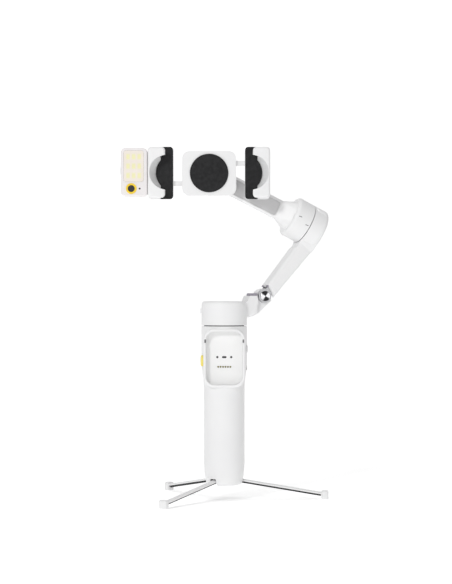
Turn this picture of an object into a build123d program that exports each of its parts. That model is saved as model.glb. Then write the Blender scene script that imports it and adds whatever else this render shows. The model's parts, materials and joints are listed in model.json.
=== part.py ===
from build123d import *

import math
import os

# Handheld three-axis gimbal stabilizer for a smartphone, standing on its fold-out tripod.
#
# Row frame, millimetres: the origin is on the floor under the pan axis, +X is to the user's right,
# +Y points away from the user and +Z is up. The user faces the phone's screen from -Y.

# ---------------------------------------------------------------- driving dimensions
# Grip
GRIP_WIDTH = 33.0
GRIP_DEPTH = 36.0
HEAD_RADIUS = 18.5
GRIP_BOTTOM = 12.0
TAPER_LOW = 90.0
TAPER_HIGH = 112.0
GRIP_TOP = 140.6
WALL = 1.8
# How far the foot draws in, as (height, inset) pairs
FOOT_TAPER = ((32.0, 0.0), (24.0, 0.3), (18.0, 1.0), (GRIP_BOTTOM, 2.2))
BOTTOM_ROUNDING = 3.2
SHELL_SPLIT_MARGIN = 40.0

# Dock for the detachable remote
DOCK_WIDTH = 29.4
DOCK_HEIGHT = 43.0
DOCK_CENTRE_Z = 115.1
DOCK_CORNER = 7.0
DOCK_FRONT_Y = -19.6
DOCK_FLOOR_Y = -12.8
DOCK_FRAME = 2.2
DOCK_FLOOR_THICK = 1.4
DOCK_FRAME_BACK_Y = -4.0
DOCK_FRAME_ROUNDING = 1.3
DOCK_EDGE_ROUNDING = 0.5
CATCH_Y = -15.6
CATCH_Z = 128.8
CONTACT_COUNT = 6
CONTACT_PITCH = 1.97
CONTACT_Z = 108.0
CONTACT_RADIUS = 0.7
CONTACT_PROUD = 0.25
LOCATOR_Z = 115.8
LOCATOR_SPACING = 5.6
LOCATOR_LENGTH = 3.6
LOCATOR_WIDTH = 1.6
LOCATOR_DOT_RADIUS = 0.9

# Buttons and port on the sides of the grip
SIDE_X = 18.5
POWER_Z = 112.6
POWER_Y = -5.0
RELEASE_Z = 122.2
RELEASE_Y = -3.0
PORT_Z = 109.6
BUTTON_ROUNDING = 0.6
BUTTON_DEPTH = 3.6

# Electronics in the grip
BOARD_X = (-9.0, 9.0)
BOARD_Y = (8.6, 9.8)
BOARD_Z = (96.0, 132.0)
CELL_Y = (7.7, 13.0)
CELL_Z = (30.0, 92.0)

# Extension rod: one fixed tube and three that slide
ROD_RADII = (7.0, 6.2, 5.4, 4.6)
ROD_WALL = 0.6
ROD_BOTTOM = 27.0
ROD_TOP = 135.0
ROD_STEP = 1.0
ROD_FOOT_RADIUS = 9.5
COLLAR_THICK = 3.0

# Pan motor and its housing
PAN_BOTTOM = 141.4
PAN_TOP = 160.8
PAN_WALL = 1.6
PAN_BASE_LOW = 139.2
PAN_CEILING = 154.4
PAN_AXLE_RADIUS = 3.0
MOTOR_TEETH = 12
MOTOR_SLOT_HALF = 0.9

# Arm plane: turned about the pan axis
HEAD_YAW = 17.5
HINGE_U = 32.4
HINGE_Z = 165.0
ARM_RISE = 48.6
ARM_RIGHT = 6.7
ARM_LEFT = 4.4
ARM_HALF_DEPTH = 8.0
HOOD_HALF_DEPTH = 12.0
HOOD_ROUNDING = 3.4
HOOD_START = 52.0
HOOD_SLOPE_END = 66.0
LIMB_ROUNDING = 2.6
TONGUE_HALF = 4.1
SLOT_HALF = 4.4
SLOT_TOP = 2.8
LINK_THICK_END = 25.4
LINK_ROUNDING = 2.2
HORN_END = 26.4
HORN_TOP = 165.2
STOP_PAD_TOP = 167.3
KNUCKLE_RADIUS = 6.1
EAR_RADIUS = 5.4
ARM_END_RADIUS = 6.5
SLOT_RADIUS = 17.5
PIN_RADIUS = 2.0
RUNNING_GAP = 0.05

# Tilt motor at the elbow
ELBOW_U = 69.5
ELBOW_Z = 224.5
TILT_DROP = 26.5
ELBOW_RADIUS = 17.0
ELBOW_INNER_LENGTH = 15.0
ELBOW_OUTER_LENGTH = 14.0
SEAM_HALF = 0.35

# Roll motor and clamp, centred on the roll axis
CLAMP_X = -12.3
CLAMP_Z = 264.8
PHONE_WIDTH = 76.7
PAD_FACE_Y = -4.0
ROLL_RADIUS = 17.0
ROLL_FRONT_Y = 8.2
ROLL_BACK_Y = 29.0
TILT_BAR_WIDTH = 16.4
TILT_BAR_FRONT_Y = 9.2
TILT_BAR_BACK_Y = 19.0
TILT_BAR_BEVEL = 2.0
SHOULDER_LENGTH = 13.0

# Jaws
JAW_OUTER = 49.4
JAW_TIP = 35.4
JAW_HALF_HEIGHT = 20.5
JAW_FRONT_Y = -15.0
JAW_LIP_BACK_Y = -12.6
JAW_BACK_Y = 3.4
JAW_BACK_START = 29.0
SCOOP_CENTRE = 27.4
SCOOP_RADIUS = 15.8
SCOOP_FRONT_CENTRE = 34.2
SCOOP_FRONT_RADIUS = 14.0
PAD_THICK = 0.9

# Rack and pinion that keeps the jaws centred
GEAR_TEETH = 10
RACK_TEETH_EACH_WAY = 3
GEAR_MODULE = 1.0
GEAR_FRONT_Y = -0.6
GEAR_BACK_Y = 3.2
RACK_ROOT = 6.3
RACK_TOP = 10.2

# Clamp base and its guide rods
BASE_HALF_WIDTH = 22.0
BASE_HALF_HEIGHT = 18.0
BASE_BACK_Y = 7.4
BASE_WALL = 1.8
GUIDE_Y = 1.3
GUIDE_Z = 13.2
GUIDE_RADIUS = 1.2
LUG_X = (6.5, 10.5)
SPRING_TURNS = 6
SPRING_RADIUS = 1.75
SPRING_WIRE = 0.22

# Tracking and fill-light module
TRACKER_WIDTH = 21.4
TRACKER_HALF_HEIGHT = 19.7
TRACKER_FRONT_Y = -13.4
TRACKER_BACK_Y = 0.6
TRACKER_CORNER = 3.8
LENS_RING_RADIUS = 4.3
LENS_RADIUS = 2.8
TRACKER_BUTTON_Z = 1.4
TRACKER_BUTTON_HALF = 2.9
STATUS_FROM_LEFT = 15.2
STATUS_RADIUS = 0.8
LED_PITCH_X = 4.5
LED_PITCH_Z = 7.6

# Tripod
LEG_ANGLES = (0.0, 125.0, 235.0)
LEG_PIN_RADIUS_AT = 10.0
LEG_PIN_Z = 15.6
LEG_REACH = 84.6
LEG_DROP = 9.5
LEG_WIDTH = 5.2
LEG_SLOT_WIDTH = 6.2
LEG_SLOT_TOP = 1.9
LEG_CROWN_SIDE = 1.0
LEG_CROWN_TOP = 1.8
LEG_WEDGE_DEPTH = 1.5
LEG_EYE_RADIUS = 2.3
LEG_PIN_RADIUS = 0.9
LEG_PIN_LENGTH = 12.0
HUB_LOW = GRIP_BOTTOM + 0.8
HUB_HIGH = GRIP_BOTTOM + 11.8
HUB_SCREW_ANGLES = (62.5, 180.0, 297.5)
FOOT_LENGTH = 5.6
FOOT_WIDTH = 7.2
FOOT_HEIGHT = 7.0

BOTTOM = (Align.CENTER, Align.CENTER, Align.MIN)
parts = {}


# ---------------------------------------------------------------- helpers
def facing_y(x, z):
    """A place on the XZ plane whose local z axis points along +Y."""
    return Plane(origin=(x, 0, z), x_dir=(1, 0, 0), z_dir=(0, 1, 0)).location


def disc(radius, low, high, place=Location()):
    """A cylinder along the local z axis of a place, from low to high."""
    return place * Pos(0, 0, low) * Cylinder(radius, high - low, align=BOTTOM)


def ring(outer, inner, low, high, place=Location()):
    """A tube along the local z axis of a place."""
    return disc(outer, low, high, place) - disc(inner, low - 1, high + 1, place)


def block(x, y, z, place=Location()):
    """A box between three (low, high) pairs."""
    size = [b - a for a, b in (x, y, z)]
    middle = [(a + b) / 2 for a, b in (x, y, z)]
    return place * Pos(*middle) * Box(*size)


def slab(points, y_low, y_high):
    """A plate whose outline is given in X and Z, between two Y values."""
    outline = make_face(Polyline(*points, close=True))
    return extrude(Plane.XZ.offset(-y_high) * outline, amount=y_high - y_low)


def rounded_plate(width, height, corner, centre, y_low, y_high):
    """A round-cornered plate facing along Y, centred on an (x, z) point."""
    outline = Pos(*centre) * RectangleRounded(width, height, corner)
    return extrude(Plane.XZ.offset(-y_high) * outline, amount=y_high - y_low)


def direction(degrees):
    """Unit vector at an angle above +X, as (x, z)."""
    return math.cos(math.radians(degrees)), math.sin(math.radians(degrees))


def keep(name, shape):
    """Files a finished sub-part under its node name."""
    parts[name] = shape


# ---------------------------------------------------------------- frames
HEAD = Rot(0, 0, HEAD_YAW)
TILT_U, TILT_W = direction(-TILT_DROP)
TILT = HEAD * Plane(origin=(ELBOW_U, 0, ELBOW_Z), x_dir=(0, 1, 0), z_dir=(TILT_U, 0, TILT_W)).location
ROLL = facing_y(CLAMP_X, CLAMP_Z)
CLAMP = Pos(CLAMP_X, 0, CLAMP_Z)
# The arm's own frame: +X runs up the arm from the fold hinge and +Z is the arm's upper left side.
ARM = HEAD * Pos(HINGE_U, 0, HINGE_Z) * Rot(0, -ARM_RISE, 0)


# ---------------------------------------------------------------- grip
def oval(z, inset, blend):
    """A section of the grip at height z; blend runs from the grip's oval to the head's circle."""
    half_width = GRIP_WIDTH / 2 + blend * (HEAD_RADIUS - GRIP_WIDTH / 2)
    half_depth = GRIP_DEPTH / 2 + blend * (HEAD_RADIUS + 0.01 - GRIP_DEPTH / 2)
    return Pos(0, 0, z) * Ellipse(half_width - inset, half_depth - inset)


def grip_form(inset, low, high):
    """The grip's whole outer form, shrunk by inset, between two heights."""
    steps = 4
    sections = []
    for i in range(steps + 1):
        t = i / steps
        z = TAPER_LOW + t * (TAPER_HIGH - TAPER_LOW)
        sections.append(oval(z, inset, t * t * (3 - 2 * t)))
    lower = extrude(oval(FOOT_TAPER[0][0], inset, 0), amount=TAPER_LOW - FOOT_TAPER[0][0])
    lower += loft([oval(z, inset + step, 0) for z, step in reversed(FOOT_TAPER)])
    if low < FOOT_TAPER[-1][0]:
        lower += extrude(oval(low, inset + FOOT_TAPER[-1][1], 0), amount=FOOT_TAPER[-1][0] - low)
    upper = extrude(oval(TAPER_HIGH, inset, 1), amount=high - TAPER_HIGH)
    return lower + loft(sections) + upper


def dock_plate(margin, y_low, y_high):
    """The dock's rounded outline grown by a margin, as a plate."""
    return rounded_plate(
        DOCK_WIDTH + 2 * margin, DOCK_HEIGHT + 2 * margin, DOCK_CORNER + margin,
        (0, DOCK_CENTRE_Z), y_low, y_high,
    )


def leg_frame(angle):
    """Frame of one leg: +X points outwards along the floor, the origin is on its hinge pin."""
    return Rot(0, 0, angle) * Pos(LEG_PIN_RADIUS_AT, 0, LEG_PIN_Z)


def pill_x(x_low, x_high, length, width, y, z):
    """A pill-shaped peg along X, long in Z."""
    outline = Plane(origin=(x_low, y, z), x_dir=(0, 0, 1), z_dir=(1, 0, 0)) * SlotOverall(length, width)
    return extrude(outline, amount=x_high - x_low)


def dock_frame():
    """The raised surround of the dock, before its opening is cut."""
    frame = dock_plate(DOCK_FRAME, DOCK_FRONT_Y, DOCK_FRAME_BACK_Y)
    front = frame.faces().sort_by(Axis.Y)[0]
    frame = fillet(front.edges(), DOCK_FRAME_ROUNDING)
    frame -= dock_plate(0, DOCK_FRONT_Y - 1, DOCK_FRAME_BACK_Y + 1)
    return frame - disc(ROD_RADII[0] + 1.5, TAPER_LOW - 10, GRIP_TOP + 10)


def on_dock_edge(edge):
    """True for an edge of the dock's opening on the front of its surround."""
    middle = edge.center()
    beside = abs(middle.X) < DOCK_WIDTH / 2 + 0.1
    level = abs(middle.Z - DOCK_CENTRE_Z) < DOCK_HEIGHT / 2 + 0.1
    return abs(middle.Y - DOCK_FRONT_Y) < 0.01 and beside and level


def make_grip():
    outer = grip_form(0, GRIP_BOTTOM, GRIP_TOP)
    outer = fillet(outer.edges().group_by(Axis.Z)[0], BOTTOM_ROUNDING)
    shell = outer - grip_form(WALL, GRIP_BOTTOM - 1, GRIP_TOP + 1)
    shell = shell - dock_plate(0, DOCK_FRONT_Y - 1, DOCK_FRAME_BACK_Y + 1) + dock_frame()
    shell = fillet([e for e in shell.edges() if on_dock_edge(e)], DOCK_EDGE_ROUNDING)
    half = LEG_SLOT_WIDTH / 2
    for angle in LEG_ANGLES:
        shell -= leg_frame(angle) * block((0, 12), (-half, half), (-6, LEG_SLOT_TOP))
    shell -= pill_x(-SIDE_X - 3, -SIDE_X + 4, 9.6, 8.0, POWER_Y, POWER_Z)
    shell -= pill_x(SIDE_X - 4, SIDE_X + 3, 6.2, 5.6, RELEASE_Y, RELEASE_Z)
    shell -= pill_x(SIDE_X - 4, SIDE_X + 3, 9.6, 3.8, 0.0, PORT_Z)
    for side in (-1, 1):
        shell -= Pos(side * (DOCK_WIDTH / 2 + 0.2), -17.4, CATCH_Z) * Box(2.2, 6.2, 2.8)
    wide = (-SHELL_SPLIT_MARGIN, SHELL_SPLIT_MARGIN)
    tall = (0, GRIP_TOP + SHELL_SPLIT_MARGIN)
    keep("grip_front_shell", shell & block(wide, (-SHELL_SPLIT_MARGIN, 0), tall))
    keep("grip_back_shell", shell & block(wide, (0, SHELL_SPLIT_MARGIN), tall))


def make_contacts(floor):
    """Cuts the contacts' holes in the dock floor and files the contacts."""
    contacts = []
    for i in range(CONTACT_COUNT):
        place = facing_y((i - (CONTACT_COUNT - 1) / 2) * CONTACT_PITCH, CONTACT_Z)
        floor -= disc(CONTACT_RADIUS + 0.02, DOCK_FLOOR_Y - 1, DOCK_FLOOR_Y + 3, place)
        contacts.append(disc(CONTACT_RADIUS, DOCK_FLOOR_Y - CONTACT_PROUD, DOCK_FLOOR_Y + 2.0, place))
    keep("dock_contacts", Compound(contacts))
    return floor


def make_locators(floor):
    """Cuts the locators' seats in the dock floor and files the locators."""
    dot = Circle(LOCATOR_DOT_RADIUS)
    bar = SlotOverall(LOCATOR_LENGTH, LOCATOR_WIDTH)
    locators = []
    for x, outline in ((-LOCATOR_SPACING, dot), (0.0, bar), (LOCATOR_SPACING, dot)):
        face = Plane.XZ.offset(-(DOCK_FLOOR_Y + 1.3)) * Pos(x, LOCATOR_Z) * outline
        locators.append(extrude(face, amount=1.0))
        floor -= extrude(face, amount=2.0)
    keep("dock_locators", Compound(locators))
    return floor


def make_dock():
    floor = dock_plate(-0.05, DOCK_FLOOR_Y, DOCK_FLOOR_Y + DOCK_FLOOR_THICK)
    floor = make_contacts(floor)
    floor = make_locators(floor)
    keep("dock_floor", floor)
    catches = []
    for side in (-1, 1):
        catch = Pos(side * (DOCK_WIDTH / 2 + 0.66), CATCH_Y, CATCH_Z) * Box(1.2, 2.4, 2.6)
        catches.append(fillet(catch.edges().filter_by(Axis.Z), 0.3))
    keep("dock_catches", Compound(catches))


def make_electronics():
    board = block(BOARD_X, BOARD_Y, BOARD_Z)
    board += block((-6, 0), (BOARD_Y[1], BOARD_Y[1] + 1.2), (118, 126))
    board += block((2, 7), (BOARD_Y[1], BOARD_Y[1] + 1.0), (104, 110))
    keep("main_board", board)
    cell = block(BOARD_X, CELL_Y, CELL_Z)
    keep("battery_pack", fillet(cell.edges().filter_by(Axis.Z), 2.0))
    port = pill_x(12.0, SIDE_X - 0.1, 9.4, 3.6, 0.0, PORT_Z)
    port -= pill_x(12.6, SIDE_X + 1, 8.5, 2.7, 0.0, PORT_Z)
    port += block((12.4, SIDE_X - 2.0), (-0.35, 0.35), (PORT_Z - 3.2, PORT_Z + 3.2))
    keep("usb_port", port)


def make_side_buttons():
    peg = pill_x(-SIDE_X - 1.3, -SIDE_X + BUTTON_DEPTH, 9.0, 7.4, POWER_Y, POWER_Z)
    peg = peg & disc(HEAD_RADIUS + 0.9, 100, 130)
    keep("power_button", fillet(peg.faces().sort_by(Axis.X)[0].edges(), BUTTON_ROUNDING))
    peg = pill_x(SIDE_X - BUTTON_DEPTH, SIDE_X + 0.8, 5.6, 5.0, RELEASE_Y, RELEASE_Z)
    peg = peg & disc(HEAD_RADIUS + 0.7, 100, 130)
    keep("release_button", fillet(peg.faces().sort_by(Axis.X)[-1].edges(), 0.4))


# ---------------------------------------------------------------- extension rod
def make_rod():
    tube = ring(ROD_RADII[0], ROD_RADII[0] - ROD_WALL, ROD_BOTTOM, ROD_TOP)
    tube += ring(ROD_FOOT_RADIUS, ROD_RADII[0] - ROD_WALL, ROD_BOTTOM - COLLAR_THICK, ROD_BOTTOM)
    collar = ring(HEAD_RADIUS - WALL - 0.1, ROD_RADII[0] - 0.01, ROD_TOP - COLLAR_THICK, ROD_TOP)
    collar -= dock_plate(DOCK_FRAME + 0.3, DOCK_FRONT_Y - 1, DOCK_FRAME_BACK_Y + 1)
    keep("rod_outer_tube", tube + collar)
    for i, radius in enumerate(ROD_RADII[1:], start=1):
        low = ROD_BOTTOM + i * ROD_STEP
        high = PAN_BASE_LOW if i == 3 else ROD_TOP + i * ROD_STEP - 0.4
        stage = ring(radius, radius - ROD_WALL, low, high)
        stage += ring(radius + 0.15, radius - ROD_WALL, low, low + 4)
        keep(f"rod_stage_{i}", stage)


# ---------------------------------------------------------------- pan motor
def stator(outer, inner, low, high, place=Location()):
    """A motor's wound core: a ring cut into teeth by slots."""
    core = ring(outer, inner, low, high, place)
    for i in range(MOTOR_TEETH):
        turn = place * Rot(0, 0, i * 360 / MOTOR_TEETH)
        half = MOTOR_SLOT_HALF
        core -= block((inner + 1.6, outer + 1), (-half, half), (low - 1, high + 1), turn)
    return core


def make_pan():
    base = ring(HEAD_RADIUS - WALL - 0.4, 3.1, PAN_BASE_LOW, PAN_BOTTOM - 1.2)
    base += ring(6.0, 3.1, PAN_BOTTOM - 1.2, PAN_TOP - 12)
    base += ring(16.3, 15.4, PAN_BOTTOM - 1.2, PAN_BOTTOM + 2.6)
    keep("pan_motor_base", base)
    keep("pan_motor_stator", stator(12.2, 6.0, PAN_BOTTOM + 1.0, PAN_BOTTOM + 8.0))
    rotor = ring(14.6, 12.8, PAN_BOTTOM + 0.8, PAN_CEILING - 1.4)
    rotor += disc(14.6, PAN_CEILING - 1.4, PAN_CEILING)
    rotor += disc(PAN_AXLE_RADIUS, PAN_BASE_LOW - 0.4, PAN_CEILING - 1.4)
    keep("pan_motor_rotor", rotor)


def link_face():
    """Side outline of the link between pan housing and fold hinge, in the arm plane."""
    start, turn = (15.0, 147.2), (29.2, 152.2)
    low = Spline(start, (20.4, 148.0), (25.0, 149.6), turn, tangents=[(1, 0.02), (1, 1)])
    top = ((26.4, 165.2), (20.0, 165.2), (17.8, 160.4))
    rest = Polyline(turn, (39.4, 161.6), (HINGE_U, HINGE_Z), *top, (8.0, 159.6), (8.0, 147.2), start)
    return make_face(Wire(low.edges() + rest.edges()))


def make_pan_head():
    housing = disc(HEAD_RADIUS, PAN_BOTTOM, PAN_TOP)
    housing = fillet(housing.faces().sort_by(Axis.Z)[-1].edges(), 2.6)
    link = extrude(Plane.XZ.offset(-ARM_HALF_DEPTH) * link_face(), amount=2 * ARM_HALF_DEPTH)
    under = [e for e in link.edges() if abs(abs(e.center().Y) - ARM_HALF_DEPTH) < 0.01 and e.center().Z < 158]
    link = fillet([e for e in under if e.center().X > 16], LINK_ROUNDING)
    # Beyond this line only the middle tongue goes on, so that the folded arm has room beside it.
    sides = block((LINK_THICK_END, 60), (TONGUE_HALF, 20), (100, 200))
    sides += block((LINK_THICK_END, 60), (-20, -TONGUE_HALF), (100, 200))
    hinge_axis = facing_y(HINGE_U, HINGE_Z)
    horn_outline = [(16.0, 158), (HORN_END, 158), (HORN_END, HORN_TOP), (19.4, HORN_TOP)]
    horn = slab(horn_outline, -ARM_HALF_DEPTH, ARM_HALF_DEPTH)
    link = link - sides + horn
    link += disc(KNUCKLE_RADIUS, -TONGUE_HALF, TONGUE_HALF, hinge_axis)
    for low, high in ((-20, -TONGUE_HALF), (TONGUE_HALF, 20)):
        link -= disc(ARM_END_RADIUS, low, high, hinge_axis)
    body = housing + link
    body -= disc(HEAD_RADIUS - PAN_WALL, PAN_BOTTOM - 1, PAN_CEILING)
    body -= disc(12.0, PAN_TOP - 1.2, PAN_TOP + 1)
    body -= disc(PIN_RADIUS + RUNNING_GAP, -20, 20, hinge_axis)
    keep("pan_housing", HEAD * body)
    cap = disc(11.9, PAN_TOP - 1.2, PAN_TOP - 0.1)
    keep("pan_top_cap", fillet(cap.faces().sort_by(Axis.Z)[-1].edges(), 0.4))
    pad_end = HORN_END - 0.3
    pad_outline = [(20.6, HORN_TOP), (pad_end, HORN_TOP), (pad_end, STOP_PAD_TOP), (21.4, STOP_PAD_TOP)]
    pad = slab(pad_outline, -6.0, 6.0)
    keep("fold_stop_pad", HEAD * fillet(pad.edges().filter_by(Axis.Y), 0.4))
    latch = block((-HEAD_RADIUS - 1.2, -HEAD_RADIUS + 0.6), (-3.0, 3.0), (151.0, 155.2))
    latch -= disc(HEAD_RADIUS + 0.02, 140, 170)
    latch = fillet(latch.faces().sort_by(Axis.X)[0].edges(), 0.4)
    keep("fold_latch", latch)


# ---------------------------------------------------------------- arm between fold hinge and elbow
def arm_face(start):
    """The arm's side outline in its own frame, from a distance along it: +Y here is its upper left side."""
    start_bend, end_bend = (51.0, -ARM_RIGHT), (86.6, 6.4)
    middle = ((65.4, -5.3), (77.2, -2.6), (84.4, 1.8))
    bend = Spline(start_bend, *middle, end_bend, tangents=[(1, 0), (0.3, 1)])
    rest = Polyline(end_bend, (84.2, 14.4), (50.0, 7.0), (8.4, ARM_LEFT), (4.2, -ARM_RIGHT), start_bend)
    whole = make_face(Wire(bend.edges() + rest.edges()))
    return whole - Pos(start / 2 - 50, 0) * Rectangle(start + 100, 80)


def arm_plate(start, half_depth, rounding):
    """A plate of the arm's outline with its long edges rounded."""
    plate = extrude(Plane.XZ.offset(-half_depth) * arm_face(start), amount=2 * half_depth)
    edges = [e for e in plate.edges() if abs(abs(e.center().Y) - half_depth) < 0.01 and e.center().X > 6]
    return fillet(edges, rounding)


def make_arm():
    limb = arm_plate(0, ARM_HALF_DEPTH, LIMB_ROUNDING)
    hood = arm_plate(HOOD_START, HOOD_HALF_DEPTH, HOOD_ROUNDING)
    for side in (-1, 1):
        ramp = [(HOOD_START - 1, side * (ARM_HALF_DEPTH - 0.6)), (HOOD_SLOPE_END, side * HOOD_HALF_DEPTH)]
        ramp += [(HOOD_SLOPE_END, side * 20), (HOOD_START - 1, side * 20)]
        hood -= Pos(0, 0, -30) * extrude(make_face(Polyline(*ramp, close=True)), amount=60, dir=(0, 0, 1))
    outer_end = disc(ELBOW_RADIUS, SEAM_HALF, ELBOW_OUTER_LENGTH, TILT)
    outer_end = fillet(outer_end.faces().sort_by(Axis(TILT.position, TILT.z_axis.direction))[-1].edges(), 3.5)
    arm = ARM * (limb + hood) + outer_end
    # Everything on the clamp's side of the elbow seam belongs to the turning half.
    arm -= disc(ELBOW_RADIUS + 6, -60, SEAM_HALF, TILT)
    arm -= disc(ELBOW_RADIUS - 2.0, -1, ELBOW_OUTER_LENGTH - 3.0, TILT)
    # Round end around the hinge ears, and the slot that takes the link's tongue.
    arm -= ARM * (Rot(-90, 0, 0) * Cylinder(ARM_END_RADIUS, 60))
    slot = block((-SLOT_RADIUS, SLOT_RADIUS), (-SLOT_HALF, SLOT_HALF), (-20, SLOT_TOP))
    arm -= ARM * (slot & (Rot(-90, 0, 0) * Cylinder(SLOT_RADIUS, 30)))
    arm -= ARM * block((0, 14.2), (-6.0, 6.0), (-4.5, 2.7))
    keep("arm_shell", arm)

    ears = []
    for side in (-1, 1):
        near, far = sorted((side * SLOT_HALF, side * ARM_HALF_DEPTH))
        ear = Rot(-90, 0, 0) * Pos(0, 0, (near + far) / 2) * Cylinder(EAR_RADIUS, far - near)
        near, far = sorted((side * SLOT_HALF, side * 5.9))
        ear += block((0, 14.0), (near, far), (-4.4, 2.6))
        ears.append(ear - Rot(-90, 0, 0) * Cylinder(PIN_RADIUS, 40))
    keep("fold_fork", ARM * Compound(ears))
    keep("fold_hinge_pin", ARM * (Rot(-90, 0, 0) * Cylinder(PIN_RADIUS, 2 * ARM_HALF_DEPTH)))
    caps = []
    for side in (-1, 1):
        cap = Pos(0, side * (ARM_HALF_DEPTH + 0.6), 0) * (Rot(-90, 0, 0) * Cylinder(4.1, 1.2))
        outer_face = cap.faces().sort_by(Axis.Y)[0 if side < 0 else -1]
        caps.append(fillet(outer_face.edges(), 0.5))
    keep("fold_hinge_caps", ARM * Compound(caps))
    strips = [ARM * block((7.2, 9.0), sorted((side * 4.6, side * 7.0)), (2.7, 4.0)) for side in (-1, 1)]
    for strip in strips:
        parts["arm_shell"] -= strip
    keep("arm_stop_strips", Compound(strips))
    core = stator(13.0, 4.2, -8.2, -0.2, TILT)
    core += ring(4.2, 3.05, -8.2, 9.6, TILT) + ring(14.9, 3.05, 9.6, 11.0, TILT)
    keep("tilt_motor_stator", core)


# ---------------------------------------------------------------- tilt arm between elbow and roll motor
def cover_plate(place, low, high, half_height, depth):
    """A plate on the tilt arm's front with its elbow end cut to a blunt point."""
    nose = 1.0
    outline = [(low, -half_height), (high - nose, -half_height), (high, -half_height + nose)]
    outline += [(high, half_height - nose), (high - nose, half_height), (low, half_height)]
    return place * slab(outline, *depth)


def tilt_shoulder(bar_place, start_at):
    """The flare that joins the tilt bar to the inner end of the elbow drum."""
    middle_y = (TILT_BAR_FRONT_Y + TILT_BAR_BACK_Y) / 2
    start_origin = (bar_place * Pos(start_at, middle_y, 0)).position
    start_plane = Plane(origin=start_origin, x_dir=(0, 1, 0), z_dir=bar_place.x_axis.direction)
    start = start_plane * RectangleRounded(TILT_BAR_BACK_Y - TILT_BAR_FRONT_Y, TILT_BAR_WIDTH, TILT_BAR_BEVEL)
    end = TILT * Pos(0, 0, 1.0 - ELBOW_INNER_LENGTH) * RectangleRounded(25.0, 26.0, 9.0)
    return loft([start, end])


def make_tilt_arm():
    drum = disc(ELBOW_RADIUS, -ELBOW_INNER_LENGTH, -SEAM_HALF, TILT)
    inner_face = drum.faces().sort_by(Axis(TILT.position, TILT.z_axis.direction))[0]
    drum = fillet(inner_face.edges(), 2.6)
    elbow = TILT.position
    slope = math.atan2(elbow.Z - CLAMP_Z, elbow.X - CLAMP_X)
    run = math.hypot(elbow.Z - CLAMP_Z, elbow.X - CLAMP_X) - ELBOW_INNER_LENGTH + 4
    bar_place = CLAMP * Rot(0, -math.degrees(slope), 0)
    half = TILT_BAR_WIDTH / 2
    bar = block((0, run), (TILT_BAR_FRONT_Y, TILT_BAR_BACK_Y), (-half, half), bar_place)
    bar = chamfer(bar.edges().filter_by(Axis((0, 0, 0), bar_place.x_axis.direction)), TILT_BAR_BEVEL)
    shoulder = tilt_shoulder(bar_place, run - SHOULDER_LENGTH)
    housing = disc(ROLL_RADIUS, ROLL_FRONT_Y, ROLL_BACK_Y - 1.6, ROLL)
    housing = fillet(housing.faces().sort_by(Axis.Y)[0].edges(), 1.2)
    arm = housing + bar + shoulder + drum
    arm -= disc(ROLL_RADIUS - 2.0, ROLL_FRONT_Y + 2.0, ROLL_BACK_Y, ROLL)
    arm -= disc(4.0, ROLL_FRONT_Y - 1, ROLL_FRONT_Y + 3, ROLL)
    arm -= disc(ELBOW_RADIUS - 2.2, -11.0, 1.0, TILT)
    panel_low, panel_high = ROLL_RADIUS + 4.0, run - SHOULDER_LENGTH - 1.0
    depth = TILT_BAR_FRONT_Y + 1.1
    arm -= cover_plate(bar_place, panel_low, panel_high, half - 2.3, (TILT_BAR_FRONT_Y - 1, depth))
    keep("tilt_arm", arm)
    cover_depth = (TILT_BAR_FRONT_Y + 0.1, depth)
    keep("tilt_arm_cover", cover_plate(bar_place, panel_low + 0.3, panel_high - 0.3, half - 2.6, cover_depth))
    rotor = ring(14.7, 13.4, -10.8, -0.6, TILT) + disc(14.7, -11.0, -9.8, TILT)
    rotor += disc(3.0, -9.8, 10.4, TILT)
    keep("tilt_motor_rotor", rotor)
    cap = disc(ROLL_RADIUS, ROLL_BACK_Y - 1.6, ROLL_BACK_Y, ROLL)
    keep("roll_back_cap", fillet(cap.faces().sort_by(Axis.Y)[-1].edges(), 1.0))
    core = stator(12.4, 4.0, ROLL_FRONT_Y + 6, ROLL_FRONT_Y + 14, ROLL)
    core += ring(5.0, 2.6, ROLL_FRONT_Y + 14, ROLL_BACK_Y - 1.6, ROLL)
    keep("roll_motor_stator", core)


# ---------------------------------------------------------------- clamp
def gear_outline():
    """Pinion outline with slim straight-sided teeth that leave backlash."""
    pitch = GEAR_MODULE * GEAR_TEETH / 2
    root, tip = pitch - 1.15 * GEAR_MODULE, pitch + 0.75 * GEAR_MODULE
    step = 360 / GEAR_TEETH
    points = []
    for i in range(GEAR_TEETH):
        flank = ((root, 0.30), (root, 0.20), (tip, 0.09))
        for radius, share in [(r, -s) for r, s in flank] + [(r, s) for r, s in reversed(flank)]:
            angle = math.radians((i + share) * step)
            points.append((radius * math.cos(angle), radius * math.sin(angle)))
    return points


def rack(length_low, length_high, side):
    """A rack bar above (side 1) or below (side -1) the pinion, in the clamp's frame."""
    pitch_line = GEAR_MODULE * GEAR_TEETH / 2
    tooth_pitch = math.pi * GEAR_MODULE
    bar = block((length_low, length_high), (GEAR_FRONT_Y, GEAR_BACK_Y), (RACK_ROOT, RACK_TOP))
    # The pinion has a gap straight above its centre, so a rack tooth stands there.
    for i in range(-RACK_TEETH_EACH_WAY, RACK_TEETH_EACH_WAY + 1):
        x = i * tooth_pitch
        root, tip = RACK_ROOT + 0.1, pitch_line - 0.75 * GEAR_MODULE
        tooth = [(x - 0.75, root), (x - 0.28, tip), (x + 0.28, tip), (x + 0.75, root)]
        bar += slab(tooth, GEAR_FRONT_Y, GEAR_BACK_Y)
    if side < 0:
        bar = Rot(0, 180, 0) * bar
    return bar


def scoop_form(y_front, y_back):
    """The finger scoop in a right-hand jaw: a leaning cone between two circles."""
    front = Plane.XZ.offset(-y_front) * Pos(SCOOP_FRONT_CENTRE, 0) * Circle(SCOOP_FRONT_RADIUS)
    back = Plane.XZ.offset(-y_back) * Pos(SCOOP_CENTRE, 0) * Circle(SCOOP_RADIUS)
    return loft([front, back], ruled=True)


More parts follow.
